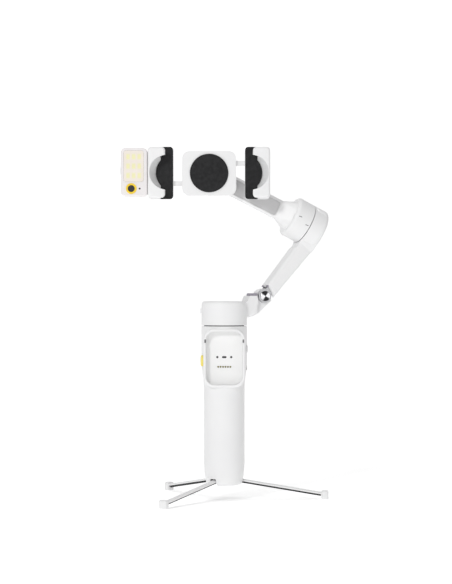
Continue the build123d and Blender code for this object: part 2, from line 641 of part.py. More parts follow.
def guide_line(x, z):
    """A place on a guide rod's axis, with its local z axis along +X."""
    return Plane(origin=(x, GUIDE_Y, z), x_dir=(0, 1, 0), z_dir=(1, 0, 0)).location


def right_jaw():
    """The right-hand jaw in the clamp's frame; the left one is the same part turned round."""
    seat_y = PAD_FACE_Y + PAD_THICK
    claw_centre = ((JAW_OUTER + JAW_TIP) / 2, 0)
    claw = rounded_plate(JAW_OUTER - JAW_TIP, 2 * JAW_HALF_HEIGHT, 3.0, claw_centre, JAW_FRONT_Y, seat_y)
    claw = fillet(claw.faces().sort_by(Axis.Y)[0].edges(), 2.0)
    gap_side = PHONE_WIDTH / 2
    claw -= block((0, gap_side + PAD_THICK), (JAW_LIP_BACK_Y, 10), (-30, 30))
    claw -= scoop_form(JAW_FRONT_Y - 0.01, seat_y + 0.01)
    back_centre = ((JAW_OUTER + JAW_BACK_START) / 2, 0)
    back_height = 2 * JAW_HALF_HEIGHT + 1.2
    back = rounded_plate(JAW_OUTER - JAW_BACK_START, back_height, 3.0, back_centre, seat_y, JAW_BACK_Y)
    back = fillet(back.faces().sort_by(Axis.Y)[-1].edges(), 1.5)
    bar = rack(-13.6, 30.0, 1)
    lug = block(LUG_X, (GEAR_FRONT_Y, GEAR_BACK_Y), (10.0, 15.6))
    lug -= guide_line(0, GUIDE_Z) * Cylinder(GUIDE_RADIUS + RUNNING_GAP, 60)
    return claw + back + bar + lug


def right_pad():
    """Rubber lining of the right-hand jaw."""
    gap_side = PHONE_WIDTH / 2
    pad_centre = (JAW_BACK_START + 8.0, 0)
    pad = rounded_plate(15.6, 2 * JAW_HALF_HEIGHT + 1.4, 2.6, pad_centre, PAD_FACE_Y, PAD_FACE_Y + PAD_THICK)
    claw_seat = block((gap_side + PAD_THICK, 60), (PAD_FACE_Y - 1, PAD_FACE_Y + 2), (-30, 30))
    scoop_axis = facing_y(SCOOP_CENTRE, 0)
    pad -= claw_seat - scoop_axis * Cylinder(SCOOP_RADIUS - 0.15, 60)
    wall = block((gap_side, gap_side + PAD_THICK), (JAW_LIP_BACK_Y, PAD_FACE_Y), (-18.5, 18.5))
    return pad + (wall - scoop_axis * Cylinder(SCOOP_RADIUS + 1.4, 60))


def clamp_base():
    """The hollow block behind the phone that carries the gear, the racks and the guide rods."""
    width, height = 2 * BASE_HALF_WIDTH, 2 * BASE_HALF_HEIGHT
    base = rounded_plate(width, height, 6.0, (0, 0), PAD_FACE_Y + PAD_THICK, BASE_BACK_Y)
    base = fillet(base.faces().sort_by(Axis.Y)[-1].edges(), 1.6)
    inner_w, inner_h = width - 2 * BASE_WALL, height - 2 * BASE_WALL
    base -= rounded_plate(inner_w, inner_h, 2.0, (0, 0), GEAR_FRONT_Y - 0.5, GEAR_BACK_Y + 0.5)
    for side in (-1, 1):
        across = sorted((side * (BASE_HALF_WIDTH - 3), side * (BASE_HALF_WIDTH + 3)))
        upright = sorted((side * 3.9, side * (RACK_TOP + 0.4)))
        base -= block(across, (GEAR_FRONT_Y - 0.4, GEAR_BACK_Y + 0.4), upright)
    return base + disc(1.6, GEAR_FRONT_Y - 0.6, GEAR_BACK_Y + 0.6, facing_y(0, 0))


def make_springs():
    """One light spring on each guide rod, between the jaw's lug and the end wall."""
    rest_length = BASE_HALF_WIDTH - BASE_WALL - 0.3 - LUG_X[1]
    coil = Helix(pitch=rest_length / SPRING_TURNS, height=rest_length - 0.6, radius=SPRING_RADIUS)
    wire = sweep(Plane(coil @ 0, z_dir=coil % 0) * Circle(SPRING_WIRE), path=coil)
    spring = guide_line(LUG_X[1] + 0.3, GUIDE_Z) * wire
    keep("clamp_spring_right", CLAMP * spring)
    keep("clamp_spring_left", CLAMP * turned(spring))


def make_clamp():
    base = clamp_base()
    axle = facing_y(0, 0)
    pad = disc(15.6, PAD_FACE_Y, PAD_FACE_Y + PAD_THICK, axle)
    keep("clamp_pad", CLAMP * fillet(pad.faces().sort_by(Axis.Y)[0].edges(), 0.3))
    rails = []
    for z in (-GUIDE_Z, GUIDE_Z):
        rails.append(guide_line(0, z) * Cylinder(GUIDE_RADIUS, 2 * BASE_HALF_WIDTH - 1.6))
    for rail in rails:
        base -= rail
    keep("clamp_base", CLAMP * base)
    keep("clamp_rails", CLAMP * Compound(rails))
    outline = make_face(Polyline(*gear_outline(), close=True))
    pinion = extrude(Plane.XZ.offset(-GEAR_BACK_Y) * outline, amount=GEAR_BACK_Y - GEAR_FRONT_Y)
    keep("clamp_pinion", CLAMP * (pinion - disc(1.65, -10, 10, axle)))
    jaw, lining = right_jaw(), right_pad()
    keep("jaw_right", CLAMP * jaw)
    keep("jaw_right_pad", CLAMP * lining)
    keep("jaw_left", CLAMP * turned(jaw))
    keep("jaw_left_pad", CLAMP * turned(lining))
    make_springs()
    rotor = disc(2.5, BASE_BACK_Y, ROLL_BACK_Y - 2.2, ROLL)
    rotor += ring(14.6, 12.9, ROLL_FRONT_Y + 5, ROLL_FRONT_Y + 15, ROLL)
    rotor += ring(14.6, 2.4, ROLL_FRONT_Y + 3.6, ROLL_FRONT_Y + 5, ROLL)
    keep("roll_motor_rotor", rotor)


def turned(shape):
    """Half a turn about the roll axis, which carries a right-hand piece to the left-hand side."""
    return Rot(0, 180, 0) * shape


# ---------------------------------------------------------------- tracking and fill-light module
TRACKER_RIGHT = -JAW_OUTER - 0.3
TRACKER_LEFT = TRACKER_RIGHT - TRACKER_WIDTH
LIGHT_CENTRE = (TRACKER_LEFT + 10.4, 4.9)
LENS_CENTRE = (TRACKER_LEFT + 8.5, -13.2)


def light_plate(margin, low, high):
    """A plate of the fill light's outline grown by a margin, set back from the tracker's front."""
    size = (16.2 + 2 * margin, 25.2 + 2 * margin)
    return rounded_plate(*size, 2.1 + margin, LIGHT_CENTRE, TRACKER_FRONT_Y + low, TRACKER_FRONT_Y + high)


def make_tracker_housing():
    size = (TRACKER_WIDTH, 2 * TRACKER_HALF_HEIGHT)
    middle = ((TRACKER_LEFT + TRACKER_RIGHT) / 2, 0)
    body = rounded_plate(*size, TRACKER_CORNER, middle, TRACKER_FRONT_Y, TRACKER_BACK_Y)
    body = fillet(body.faces().sort_by(Axis.Y)[0].edges(), 1.4)
    body = fillet(body.faces().sort_by(Axis.Y)[-1].edges(), 1.4)
    body -= light_plate(0.1, -1, 4.4)
    body -= disc(LENS_RING_RADIUS, TRACKER_FRONT_Y - 1, TRACKER_FRONT_Y + 6, facing_y(*LENS_CENTRE))
    recess = (TRACKER_BUTTON_Z - TRACKER_BUTTON_HALF - 0.2, TRACKER_BUTTON_Z + TRACKER_BUTTON_HALF + 0.2)
    body -= block((TRACKER_LEFT - 1, TRACKER_LEFT + 2.4), (-8.4, -4.4), recess)
    status = facing_y(TRACKER_LEFT + STATUS_FROM_LEFT, LENS_CENTRE[1])
    body -= disc(STATUS_RADIUS, TRACKER_FRONT_Y - 1, TRACKER_FRONT_Y + 1.5, status)
    keep("tracker_housing", CLAMP * body)


def make_tracker():
    make_tracker_housing()
    board = light_plate(0, 3.4, 4.4)
    for column in (-1, 0, 1):
        for row in (-1, 0, 1):
            x, z = LIGHT_CENTRE[0] + column * LED_PITCH_X, LIGHT_CENTRE[1] + row * LED_PITCH_Z
            depth = (TRACKER_FRONT_Y + 2.6, TRACKER_FRONT_Y + 3.4)
            board += block((x - 1.3, x + 1.3), depth, (z - 1.8, z + 1.8))
    keep("tracker_led_board", CLAMP * board)
    keep("tracker_light", CLAMP * light_plate(0, 0.05, 1.4))
    axis = facing_y(*LENS_CENTRE)
    bezel = ring(LENS_RING_RADIUS, LENS_RADIUS, TRACKER_FRONT_Y - 0.5, TRACKER_FRONT_Y + 4.0, axis)
    keep("tracker_lens_ring", CLAMP * bezel)
    keep("tracker_lens", CLAMP * disc(LENS_RADIUS, TRACKER_FRONT_Y, TRACKER_FRONT_Y + 5.5, axis))
    height = (TRACKER_BUTTON_Z - TRACKER_BUTTON_HALF, TRACKER_BUTTON_Z + TRACKER_BUTTON_HALF)
    knob = block((TRACKER_LEFT - 0.5, TRACKER_LEFT + 1.2), (-8.2, -4.6), height)
    keep("tracker_button", CLAMP * fillet(knob.faces().sort_by(Axis.X)[0].edges(), 0.4))
    plate = rounded_plate(1.2, 30.0, 0.25, (0.4 - JAW_OUTER, 0), -11.0, -1.8)
    parts["jaw_left"] -= CLAMP * plate
    keep("tracker_dock", CLAMP * plate)


# ---------------------------------------------------------------- tripod
def make_tripod():
    wide = (-SHELL_SPLIT_MARGIN, SHELL_SPLIT_MARGIN)
    hub = grip_form(WALL + 0.1, GRIP_BOTTOM, 130) & block(wide, wide, (HUB_LOW, HUB_HIGH))
    hub -= disc(ROD_RADII[0], HUB_LOW + 7, HUB_HIGH + 10)
    pins = []
    half = LEG_SLOT_WIDTH / 2
    for angle in LEG_ANGLES:
        place = leg_frame(angle)
        hub -= block((-3.4, 12), (-half, half), (-10, 3.4), place)
        pins.append(place * (Rot(-90, 0, 0) * Cylinder(LEG_PIN_RADIUS, LEG_PIN_LENGTH)))
    for pin in pins:
        hub -= pin
    screws = []
    for angle in HUB_SCREW_ANGLES:
        place = Rot(0, 0, angle) * Pos(9.6, 0, HUB_LOW)
        hub -= disc(0.9, -1, 8, place) + disc(1.9, -1, 1.2, place)
        screw = disc(0.9, 1.2, 7.5, place) + disc(1.9, 0.1, 1.2, place)
        screw -= block((-1.2, 1.2), (-0.25, 0.25), (-1, 0.6), place)
        screw -= block((-0.25, 0.25), (-1.2, 1.2), (-1, 0.6), place)
        screws.append(screw)
    keep("tripod_hub", hub)
    keep("leg_pins", Compound(pins))
    keep("hub_screws", Compound(screws))

    leg, rail = make_leg()
    for i, angle in enumerate(LEG_ANGLES, start=1):
        place = leg_frame(angle)
        keep(f"leg_{i}", place * leg)
        keep(f"leg_rail_{i}", place * rail)


def leg_bar(low, high, section):
    """A straight bar along the leg with a section given in Y and Z."""
    face = Plane(origin=(low, 0, 0), x_dir=(0, 1, 0), z_dir=(1, 0, 0)) * section
    return extrude(face, amount=high - low)


def make_leg():
    """One leg in its own frame: a white crowned top with a foot, and the black wedge under it."""
    slope = Rot(0, LEG_DROP, 0)
    run = (LEG_REACH - FOOT_LENGTH - LEG_PIN_RADIUS_AT) / math.cos(math.radians(LEG_DROP))
    half = LEG_WIDTH / 2
    side_z, low_z = LEG_CROWN_SIDE, -LEG_WEDGE_DEPTH
    crown = ThreePointArc((half, side_z), (0, LEG_CROWN_TOP), (-half, side_z))
    sides = Polyline((-half, side_z), (-half, 0), (half, 0), (half, side_z))
    top = make_face(Wire(crown.edges() + sides.edges()))
    wedge = make_face(Polyline((-half + 0.1, 0), (-0.7, low_z), (0.7, low_z), (half - 0.1, 0), close=True))
    eye = Rot(-90, 0, 0) * Cylinder(LEG_EYE_RADIUS, LEG_WIDTH)
    foot_x = LEG_REACH - LEG_PIN_RADIUS_AT - FOOT_LENGTH / 2
    foot = Pos(foot_x, 0, FOOT_HEIGHT / 2 - LEG_PIN_Z) * Box(FOOT_LENGTH, FOOT_WIDTH, FOOT_HEIGHT)
    foot = fillet(foot.edges().filter_by(Axis.Z), 1.8)
    foot = fillet(foot.faces().sort_by(Axis.Z)[-1].edges(), 1.4)
    foot = fillet(foot.faces().sort_by(Axis.Z)[0].edges(), 0.5)
    leg = slope * leg_bar(0, run, top) + foot + eye
    leg -= Rot(-90, 0, 0) * Cylinder(LEG_PIN_RADIUS + RUNNING_GAP, 20)
    rail = slope * leg_bar(3.0, run - 0.4, wedge) - foot - eye
    return leg, rail


def build():
    make_grip()
    make_dock()
    make_electronics()
    make_side_buttons()
    make_rod()
    make_pan()
    make_pan_head()
    make_arm()
    make_tilt_arm()
    make_clamp()
    make_tracker()
    make_tripod()
    os.makedirs("parts", exist_ok=True)
    for name, shape in parts.items():
        solids = shape.solids()
        export_step(solids[0] if len(solids) == 1 else Compound(solids), f"parts/{name}.step")


build()
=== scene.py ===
"""Looks for the handheld phone gimbal: materials, fine surface pieces, studio and camera."""

import json
import math

import bmesh
import bpy
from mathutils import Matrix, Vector


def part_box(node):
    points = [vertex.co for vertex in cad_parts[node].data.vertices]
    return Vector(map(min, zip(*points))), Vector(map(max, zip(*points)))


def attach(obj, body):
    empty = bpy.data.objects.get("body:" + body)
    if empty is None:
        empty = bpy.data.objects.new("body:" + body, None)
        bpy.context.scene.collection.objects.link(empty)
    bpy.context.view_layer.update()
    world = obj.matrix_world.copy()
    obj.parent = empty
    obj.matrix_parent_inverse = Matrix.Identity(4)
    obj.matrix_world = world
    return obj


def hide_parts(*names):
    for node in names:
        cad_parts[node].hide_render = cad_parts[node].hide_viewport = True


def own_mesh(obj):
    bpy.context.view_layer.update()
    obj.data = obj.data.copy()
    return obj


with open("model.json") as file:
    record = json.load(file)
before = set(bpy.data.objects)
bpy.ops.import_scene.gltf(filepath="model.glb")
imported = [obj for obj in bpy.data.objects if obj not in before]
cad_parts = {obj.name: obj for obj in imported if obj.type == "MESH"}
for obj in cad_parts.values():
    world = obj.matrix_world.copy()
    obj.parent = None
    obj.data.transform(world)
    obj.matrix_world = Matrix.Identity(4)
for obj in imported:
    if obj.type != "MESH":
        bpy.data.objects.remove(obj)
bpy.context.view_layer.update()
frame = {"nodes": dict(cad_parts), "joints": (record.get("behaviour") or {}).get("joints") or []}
nodes = frame["nodes"]

MM = 0.001

# ---------------------------------------------------------------- camera and studio values
CAMERA_X = 1.4 * MM
CAMERA_HEIGHT = 168.3 * MM
CAMERA_DISTANCE = 1.477
LENS = 112.0
NEAR_CLIP = 0.01
WORLD_STRENGTH = 0.40
FLOOR_HALF = 1.3
# Keeps the floor just clear of the feet
FLOOR_DROP = 0.2 * MM
BACKDROP_Y = 1.6
BACKDROP_RADIUS = 0.6
BACKDROP_STEPS = 16
LIGHT_TARGET = (0, 0, 0.15)
# Name, place, size and power of each area light, in metres and watts
LIGHTS = (
    ("key", (-0.72, -1.38, 0.92), (0.24, 0.24), 8.4),
    ("soft", (-0.2, -1.7, 0.5), (0.9, 0.9), 0.6),
    ("fill", (1.0, -1.2, 0.5), (0.7, 0.9), 1.5),
    ("top", (-0.1, -0.1, 1.3), (0.7, 0.7), 2.4),
)

# ---------------------------------------------------------------- fine piece values
SPRING_WIRE = 0.22 * MM
SPRING_TURNS = 6
SPRING_STEPS = 24
SPRING_SIDES = 8
SENSOR_OFFSET = 6.7 * MM
SENSOR_RADIUS = 0.76 * MM
SENSOR_DEPTH = 0.35 * MM
SENSOR_CROWN = 0.25 * MM
SENSOR_SIDES = 24
# Rings of the dome from its top down, as shares of its radius and of its crown
SENSOR_RINGS = ((0.5, 0.75), (0.85, 0.3), (1.0, 0.0), (1.0, -1.5))
ELBOW_RADIUS = 17.0 * MM
# Place of each mark: distance along the elbow's axis, angle round it and slant, in metres and radians
ELBOW_MARKS = ((-11.0 * MM, 0.16, 1.4), (-2.9 * MM, -0.06, 1.4))
MARK_LENGTH = 2.8 * MM
MARK_WIDTH = 0.6 * MM
MARK_SINK = 0.3 * MM
MARK_PROUD = 0.03 * MM
MARK_STEPS = 6

# ---------------------------------------------------------------- surface values
# Noise scales are in cycles per metre, and bump distances in metres
DRIFT_SCALE = 28.0
HANDLING_SCALE = 160.0
PLASTIC_GRAIN = 9000.0
PLASTIC_DEPTH = 0.04
PLASTIC_IOR = 1.47
COARSE_RATIO = 6
COARSE_SHARE = 0.5
RUBBER_TONE_SCALE = 400.0
RUBBER_GLOSS_SCALE = 700.0
RUBBER_GRAIN = 6000.0
RUBBER_DEPTH = 0.12
RUBBER_SPECULAR = 0.2
METAL_GRAIN = 900.0
METAL_DEPTH = 0.08
SOFT_RELIEF = 0.2 * MM
METAL_RELIEF = 0.1 * MM
RING_SCALE = 14000.0
RING_DEPTH = 0.06
RING_SHARE = 0.14
RING_RELIEF = 0.05 * MM
# Painted reflection on the hinge pin's end: a dark tone painted as dark reflection and a bright tone
# painted as highlight, laid out in fan shapes turned by this angle in degrees, with the edges of the blend
# between them.
PAINTED_FAN_LEAN = -12.0
PAINTED_DARK_REFLECTION = (0.03, 0.03, 0.032)
PAINTED_HIGHLIGHT = (0.92, 0.92, 0.94)
PAINTED_FAN_EDGES = (0.42, 0.86)
LED_COUNT = 3
LED_PITCH_X = 4.5 * MM
LED_PITCH_Z = 7.6 * MM
LED_HALF_X = 1.5 * MM
LED_HALF_Z = 2.2 * MM
LED_EDGE = (0.55, 1.35)
LED_COLOUR = (0.88, 0.86, 0.42, 1)
LED_SHARE = 0.75
CREAM_DARK = (0.86, 0.79, 0.70)
CREAM_LIGHT = (0.90, 0.83, 0.76)
CREAM_SCALE = 90.0
DIFFUSER_GLOSS_SCALE = 500.0
DIFFUSER_GRAIN = 3000.0
DIFFUSER_DEPTH = 0.03
DIFFUSER_COAT = 0.6
PAPER_DARK = (0.90, 0.90, 0.90)
PAPER_LIGHT = (0.92, 0.92, 0.92)
PAPER_SCALE = 6.0
PAPER_ROUGHNESS = 0.9
PAPER_SPECULAR = 0.1
PAPER_GLOW = 0.44

# Name, light tone, dark tone and roughness, then grain, grain depth and clear coat where they differ
PLASTICS = {
    "white": ("white satin plastic", (0.87, 0.87, 0.87), (0.84, 0.84, 0.845), 0.42),
    "dock": ("dock plastic", (0.90, 0.90, 0.895), (0.88, 0.88, 0.875), 0.5),
    # The cover's grey is painted shade: the panel is the same white plastic as the arm, darkened as if in
    # shadow.
    "cover": ("painted shade cover plastic", (0.62, 0.615, 0.62), (0.59, 0.585, 0.59), 0.4),
    "leg": ("white leg paint", (0.85, 0.85, 0.85), (0.82, 0.82, 0.825), 0.36, 5000.0, 0.03),
    "black": ("black plastic", (0.035, 0.035, 0.037), (0.025, 0.025, 0.027), 0.45),
    "yellow": ("yellow plastic", (0.93, 0.66, 0.04), (0.89, 0.60, 0.03), 0.32, 6000.0, 0.03),
    "lemon": ("lemon plastic", (0.94, 0.78, 0.13), (0.91, 0.74, 0.10), 0.32, 6000.0, 0.03),
    "grey": ("grey plastic", (0.60, 0.60, 0.61), (0.55, 0.55, 0.56), 0.4),
    "gear": ("gear plastic", (0.74, 0.72, 0.64), (0.70, 0.68, 0.60), 0.4),
    "battery": ("battery wrap", (0.05, 0.16, 0.42), (0.04, 0.13, 0.36), 0.25),
    "board": ("circuit board", (0.02, 0.14, 0.07), (0.015, 0.10, 0.05), 0.35),
    "tracker": (
        "tracker plastic", (0.86, 0.83, 0.83), (0.83, 0.80, 0.80), 0.25, PLASTIC_GRAIN, PLASTIC_DEPTH, 0.5,
    ),
    "mark": ("grey inlay", (0.26, 0.26, 0.27), (0.20, 0.20, 0.21), 0.5),
    "lens": ("lens", (0.010, 0.010, 0.014), (0.006, 0.006, 0.010), 0.08, PLASTIC_GRAIN, 0.0, 1.0),
}

# Name, light tone, dark tone and roughness
RUBBERS = {
    "rubber": ("black rubber", (0.022, 0.022, 0.023), (0.012, 0.012, 0.013), 0.55),
    "grey_rubber": ("grey rubber", (0.40, 0.38, 0.43), (0.33, 0.31, 0.36), 0.6),
}

# Name, light tone, dark tone, roughness and the stretch that lays the scratches along one axis
METALS = {
    "gold": ("gold contact", (0.26, 0.23, 0.09), (0.18, 0.16, 0.06), 0.4, (1, 1, 1)),
    "alloy": ("anodised tube", (0.62, 0.62, 0.64), (0.50, 0.50, 0.52), 0.34, (1, 1, 0.04)),
    "steel": ("brushed steel", (0.62, 0.62, 0.63), (0.48, 0.48, 0.50), 0.3, (1, 0.06, 1)),
    "motor": ("motor steel", (0.54, 0.54, 0.55), (0.42, 0.42, 0.44), 0.38, (1, 1, 0.1)),
    "laminate": ("stator laminate", (0.34, 0.27, 0.21), (0.22, 0.17, 0.13), 0.5, (0.1, 0.1, 8)),
}

# The CAD nodes that each finish goes on
FINISHES = {
    "white": (
        "grip_front_shell", "grip_back_shell", "pan_housing", "pan_top_cap", "arm_shell", "tilt_arm",
        "roll_back_cap", "clamp_base", "jaw_left", "jaw_right", "fold_latch", "tracker_dock",
        "release_button",
    ),
    "dock": ("dock_floor",),
    "cover": ("tilt_arm_cover",),
    "leg": ("leg_1", "leg_2", "leg_3"),
    "rubber": (
        "jaw_left_pad", "jaw_right_pad", "clamp_pad", "leg_rail_1", "leg_rail_2", "leg_rail_3",
    ),
    "grey_rubber": ("fold_stop_pad", "arm_stop_strips"),
    "black": ("dock_locators", "tripod_hub", "pan_motor_base", "usb_port"),
    "mark": ("dock_catches",),
    "yellow": ("tracker_lens_ring",),
    "lemon": ("power_button",),
    "grey": ("tracker_button",),
    "tracker": ("tracker_housing",),
    "gold": ("dock_contacts",),
    "alloy": ("rod_outer_tube", "rod_stage_1", "rod_stage_2", "rod_stage_3"),
    "spun": ("fold_hinge_pin", "fold_hinge_caps"),
    "steel": (
        "fold_fork", "leg_pins", "hub_screws", "clamp_rails", "clamp_spring_left", "clamp_spring_right",
    ),
    "motor": ("pan_motor_rotor", "tilt_motor_rotor", "roll_motor_rotor"),
    "laminate": ("pan_motor_stator", "tilt_motor_stator", "roll_motor_stator"),
    "gear": ("clamp_pinion",),
    "battery": ("battery_pack",),
    "board": ("main_board", "tracker_led_board"),
    "light": ("tracker_light",),
    "lens": ("tracker_lens",),
}


# ---------------------------------------------------------------- shader helpers
def new_material(name):
    """An empty node material: returns it, its node tree and its shader."""
    material = bpy.data.materials.new(name)
    material.use_nodes = True
    tree = material.node_tree
    shader = tree.nodes["Principled BSDF"]
    return material, tree, shader


def add(tree, kind, **values):
    """A node with its inputs set by name."""
    node = tree.nodes.new(kind)
    for key, value in values.items():
        socket = key.replace("_", " ")
        if socket in node.inputs:
            node.inputs[socket].default_value = value
        else:
            setattr(node, key, value)
    return node


def object_coordinates(tree):
    return tree.nodes.new("ShaderNodeTexCoord").outputs["Object"]


def noise(tree, scale, detail=2.0, roughness=0.5, stretch=None):
    """Noise fixed to the object; stretch scales its axes for brushed and drawn finishes."""
    coordinates = object_coordinates(tree)
    if stretch:
        mapping = add(tree, "ShaderNodeMapping", Scale=stretch)
        tree.links.new(coordinates, mapping.inputs["Vector"])
        coordinates = mapping.outputs["Vector"]
    node = add(tree, "ShaderNodeTexNoise", Scale=scale, Detail=detail, Roughness=roughness)
    tree.links.new(coordinates, node.inputs["Vector"])
    return node.outputs["Fac"]


def vary(tree, fac, low, high):
    """A value that follows a 0 to 1 factor between two limits."""
    node = tree.nodes.new("ShaderNodeMapRange")
    node.inputs["To Min"].default_value = low
    node.inputs["To Max"].default_value = high
    tree.links.new(fac, node.inputs["Value"])
    return node.outputs["Result"]


def blend_colours(tree, fac, first, second, low=0.3, high=0.7):
    """Colours mixed by a factor that is stretched between two limits."""
    ramp = tree.nodes.new("ShaderNodeValToRGB")
    ramp.color_ramp.elements[0].position = low
    ramp.color_ramp.elements[0].color = (*first, 1)
    ramp.color_ramp.elements[1].position = high
    ramp.color_ramp.elements[1].color = (*second, 1)
    tree.links.new(fac, ramp.inputs["Fac"])
    return ramp.outputs["Color"]


def bump(tree, shader, heights, strength, distance):
    """Adds one or more height fields to the shader's normal."""
    normal = None
    for height, share in heights:
        node = add(tree, "ShaderNodeBump", Strength=strength * share, Distance=distance)
        tree.links.new(height, node.inputs["Height"])
        if normal:
            tree.links.new(normal, node.inputs["Normal"])
        normal = node.outputs["Normal"]
    tree.links.new(normal, shader.inputs["Normal"])


def math_node(tree, operation, *values):
    """A math node fed by sockets or plain numbers."""
    node = tree.nodes.new("ShaderNodeMath")
    node.operation = operation
    for i, value in enumerate(values):
        if isinstance(value, (int, float)):
            node.inputs[i].default_value = value
        else:
            tree.links.new(value, node.inputs[i])
    return node.outputs[0]


def dot(tree, vector, axis):
    """How far a vector socket reaches along a fixed axis."""
    node = add(tree, "ShaderNodeVectorMath", operation="DOT_PRODUCT")
    node.inputs[1].default_value = axis
    tree.links.new(vector, node.inputs[0])
    return node.outputs["Value"]


def length(tree, across, along):
    """The length of a vector given by its two parts."""
    squares = (math_node(tree, "POWER", across, 2.0), math_node(tree, "POWER", along, 2.0))
    return math_node(tree, "SQRT", math_node(tree, "ADD", *squares))


def middle(low, high):
    return (Vector(low) + Vector(high)) / 2


# ---------------------------------------------------------------- materials
def moulded_plastic(name, light, dark, roughness, grain=PLASTIC_GRAIN, depth=PLASTIC_DEPTH, coat=0.0):
    """Spark-textured moulded plastic: fine grain, faint tone drift and uneven gloss."""
    material, tree, shader = new_material(name)
    drift = noise(tree, DRIFT_SCALE, 3.0)
    tree.links.new(blend_colours(tree, drift, dark, light), shader.inputs["Base Color"])
    handling = noise(tree, HANDLING_SCALE, 4.0, 0.6)
    tree.links.new(vary(tree, handling, roughness - 0.05, roughness + 0.06), shader.inputs["Roughness"])
    fine = noise(tree, grain, 1.0)
    coarse = noise(tree, grain / COARSE_RATIO, 2.0)
    bump(tree, shader, [(fine, 1.0), (coarse, COARSE_SHARE)], depth, SOFT_RELIEF)
    shader.inputs["IOR"].default_value = PLASTIC_IOR
    shader.inputs["Coat Weight"].default_value = coat
    return material


def rubber(name, light, dark, roughness):
    """Dull rubber with a close grain."""
    material, tree, shader = new_material(name)
    tone = noise(tree, RUBBER_TONE_SCALE, 3.0)
    tree.links.new(blend_colours(tree, tone, dark, light), shader.inputs["Base Color"])
    gloss = noise(tree, RUBBER_GLOSS_SCALE, 2.0)
    tree.links.new(vary(tree, gloss, roughness - 0.08, roughness + 0.08), shader.inputs["Roughness"])
    bump(tree, shader, [(noise(tree, RUBBER_GRAIN, 2.0), 1.0)], RUBBER_DEPTH, SOFT_RELIEF)
    shader.inputs["Specular IOR Level"].default_value = RUBBER_SPECULAR
    return material


def metal(name, light, dark, roughness, stretch):
    """Drawn or brushed metal with its scratches along one axis."""
    material, tree, shader = new_material(name)
    streak = noise(tree, METAL_GRAIN, 3.0, 0.6, stretch)
    tree.links.new(blend_colours(tree, streak, dark, light), shader.inputs["Base Color"])
    tree.links.new(vary(tree, streak, roughness - 0.06, roughness + 0.1), shader.inputs["Roughness"])
    shader.inputs["Metallic"].default_value = 1.0
    bump(tree, shader, [(streak, 1.0)], METAL_DEPTH, METAL_RELIEF)
    return material


def spun_metal_with_painted_fans(name, centre, axis, painted_fan_lean):
    """Bright metal turned about an axis: fine rings, and two bright and two dark fan shapes painted into
    its colour by angle round the axis, as painted highlight and painted dark reflection.
    """
    material, tree, shader = new_material(name)
    offset = add(tree, "ShaderNodeVectorMath", operation="SUBTRACT")
    offset.inputs[1].default_value = centre
    tree.links.new(object_coordinates(tree), offset.inputs[0])
    side = Vector((0, 0, 1)).cross(axis).normalized()
    up = axis.cross(side).normalized()
    across = dot(tree, offset.outputs["Vector"], side)
    along = dot(tree, offset.outputs["Vector"], up)
    # Painted highlight and painted dark reflection: the colour goes dark or bright in fan shapes by angle
    # round the axis.
    angle = math_node(tree, "ARCTAN2", along, across)
    painted_fans = math_node(tree, "COSINE", math_node(tree, "MULTIPLY_ADD", angle, 2.0, -2.0 * painted_fan_lean))
    painted_fans = math_node(tree, "MULTIPLY_ADD", painted_fans, 0.5, 0.5)
    rings = add(tree, "ShaderNodeTexNoise", noise_dimensions="1D", Scale=RING_SCALE, Detail=2.0)
    tree.links.new(length(tree, across, along), rings.inputs["W"])
    rings_and_painted_fans = math_node(tree, "MULTIPLY_ADD", rings.outputs["Fac"], RING_SHARE, painted_fans)
    tone = blend_colours(tree, rings_and_painted_fans, PAINTED_DARK_REFLECTION, PAINTED_HIGHLIGHT, *PAINTED_FAN_EDGES)
    tree.links.new(tone, shader.inputs["Base Color"])
    tree.links.new(vary(tree, rings.outputs["Fac"], 0.16, 0.26), shader.inputs["Roughness"])
    shader.inputs["Metallic"].default_value = 1.0
    bump(tree, shader, [(rings.outputs["Fac"], 1.0)], RING_DEPTH, RING_RELIEF)
    return material


def hinge_metal():
    """Spun metal about the axis of the arm's fold, with its painted highlight and painted dark reflection.
    """
    centre = middle(*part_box("fold_hinge_caps"))
    axis = next(Vector(j["axis"]) for j in frame["joints"] if j["name"] == "arm_fold")
    return spun_metal_with_painted_fans("spun steel with painted fans", centre, axis, math.radians(PAINTED_FAN_LEAN))


def lattice_mask(tree, position, centre, pitch, half, count):
    """1 inside each of count soft-edged cells spaced evenly about a centre, 0 between them."""
    local = math_node(tree, "SUBTRACT", position, centre)
    cell = math_node(tree, "ROUND", math_node(tree, "DIVIDE", local, pitch))
    limit = (count - 1) / 2
    nearest = math_node(tree, "MINIMUM", math_node(tree, "MAXIMUM", cell, -limit), limit)
    away = math_node(tree, "SUBTRACT", local, math_node(tree, "MULTIPLY", nearest, pitch))
    ramp = tree.nodes.new("ShaderNodeMapRange")
    ramp.interpolation_type = "SMOOTHSTEP"
    ramp.inputs["From Min"].default_value = half * LED_EDGE[0]
    ramp.inputs["From Max"].default_value = half * LED_EDGE[1]
    ramp.inputs["To Min"].default_value = 1.0
    ramp.inputs["To Max"].default_value = 0.0
    tree.links.new(math_node(tree, "ABSOLUTE", away), ramp.inputs["Value"])
    return ramp.outputs["Result"]


